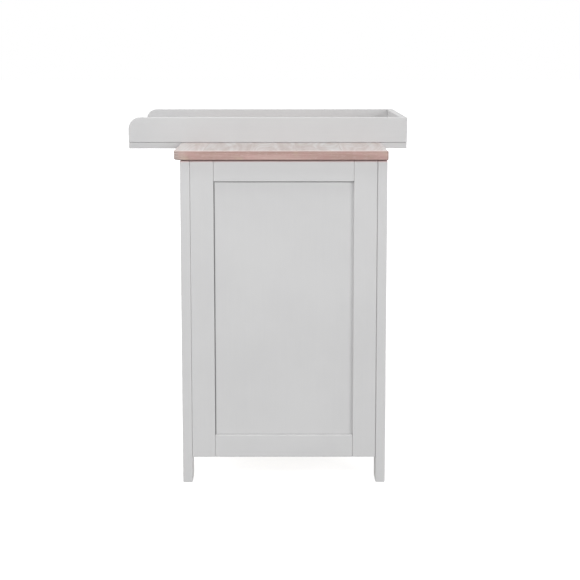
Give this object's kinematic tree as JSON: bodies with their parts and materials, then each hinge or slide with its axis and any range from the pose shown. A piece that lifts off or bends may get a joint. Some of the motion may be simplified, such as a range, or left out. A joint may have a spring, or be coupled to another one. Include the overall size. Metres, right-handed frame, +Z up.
{
  "type": "changing dresser",
  "caption": "Painted frame-and-panel chest with full-width drawers on metal slides, an oak top, and a changing tray with rounded rails over its top.",
  "frame": {"origin": "on the floor, in the middle of the whole object's footprint, tray included", "axes": "+Z up, the drawers open towards -Y, +X to the right of someone who faces the drawers"},
  "size_m": [1.05, 0.77, 0.946],
  "materials": {
    "grey_paint": "light grey satin paint on wood",
    "limed_oak": "limed oak with a matt lacquer",
    "drawer_ply": "clear lacquered birch plywood",
    "back_board": "grey faced thin fibreboard",
    "batten_pine": "planed softwood",
    "zinc_steel": "zinc plated sheet steel"
  },
  "bodies": {
    "cabinet": {"leg_front_left": "grey_paint", "leg_front_right": "grey_paint", "leg_back_left": "grey_paint", "leg_back_right": "grey_paint", "side_left_front_stile": "grey_paint", "side_left_back_stile": "grey_paint", "side_left_top_rail": "grey_paint", "side_left_bottom_rail": "grey_paint", "side_left_panel": "grey_paint", "side_right_front_stile": "grey_paint", "side_right_back_stile": "grey_paint", "side_right_top_rail": "grey_paint", "side_right_bottom_rail": "grey_paint", "side_right_panel": "grey_paint", "top_board": "limed_oak", "front_top_rail": "grey_paint", "front_bottom_rail": "grey_paint", "back_top_rail": "grey_paint", "back_bottom_rail": "grey_paint", "back_panel": "back_board", "runner_batten_1_left": "batten_pine", "runner_batten_1_right": "batten_pine", "runner_batten_2_left": "batten_pine", "runner_batten_2_right": "batten_pine", "runner_batten_3_left": "batten_pine", "runner_batten_3_right": "batten_pine", "slide_1_left_channel": "zinc_steel", "slide_1_right_channel": "zinc_steel", "slide_2_left_channel": "zinc_steel", "slide_2_right_channel": "zinc_steel", "slide_3_left_channel": "zinc_steel", "slide_3_right_channel": "zinc_steel", "tray_rail_left": "grey_paint", "tray_rail_right": "grey_paint", "tray_back_rail": "grey_paint", "tray_front_board": "grey_paint", "tray_rear_board": "grey_paint", "tray_bracket_left": "zinc_steel", "tray_bracket_right": "zinc_steel"},
    "drawer_1": {"drawer_1_front": "grey_paint", "drawer_1_side_left": "drawer_ply", "drawer_1_side_right": "drawer_ply", "drawer_1_back": "drawer_ply", "drawer_1_bottom": "drawer_ply", "slide_1_left_runner": "zinc_steel", "slide_1_right_runner": "zinc_steel"},
    "drawer_2": {"drawer_2_front": "grey_paint", "drawer_2_side_left": "drawer_ply", "drawer_2_side_right": "drawer_ply", "drawer_2_back": "drawer_ply", "drawer_2_bottom": "drawer_ply", "slide_2_left_runner": "zinc_steel", "slide_2_right_runner": "zinc_steel"},
    "drawer_3": {"drawer_3_front": "grey_paint", "drawer_3_side_left": "drawer_ply", "drawer_3_side_right": "drawer_ply", "drawer_3_back": "drawer_ply", "drawer_3_bottom": "drawer_ply", "slide_3_left_runner": "zinc_steel", "slide_3_right_runner": "zinc_steel"}
  },
  "joints": [
    {"name": "drawer_1_slide", "type": "slide", "parent": "cabinet", "child": "drawer_1", "axis": [0, -1, 0], "range_m": [0, 0.32]},
    {"name": "drawer_2_slide", "type": "slide", "parent": "cabinet", "child": "drawer_2", "axis": [0, -1, 0], "range_m": [0, 0.32]},
    {"name": "drawer_3_slide", "type": "slide", "parent": "cabinet", "child": "drawer_3", "axis": [0, -1, 0], "range_m": [0, 0.32]}
  ]
}
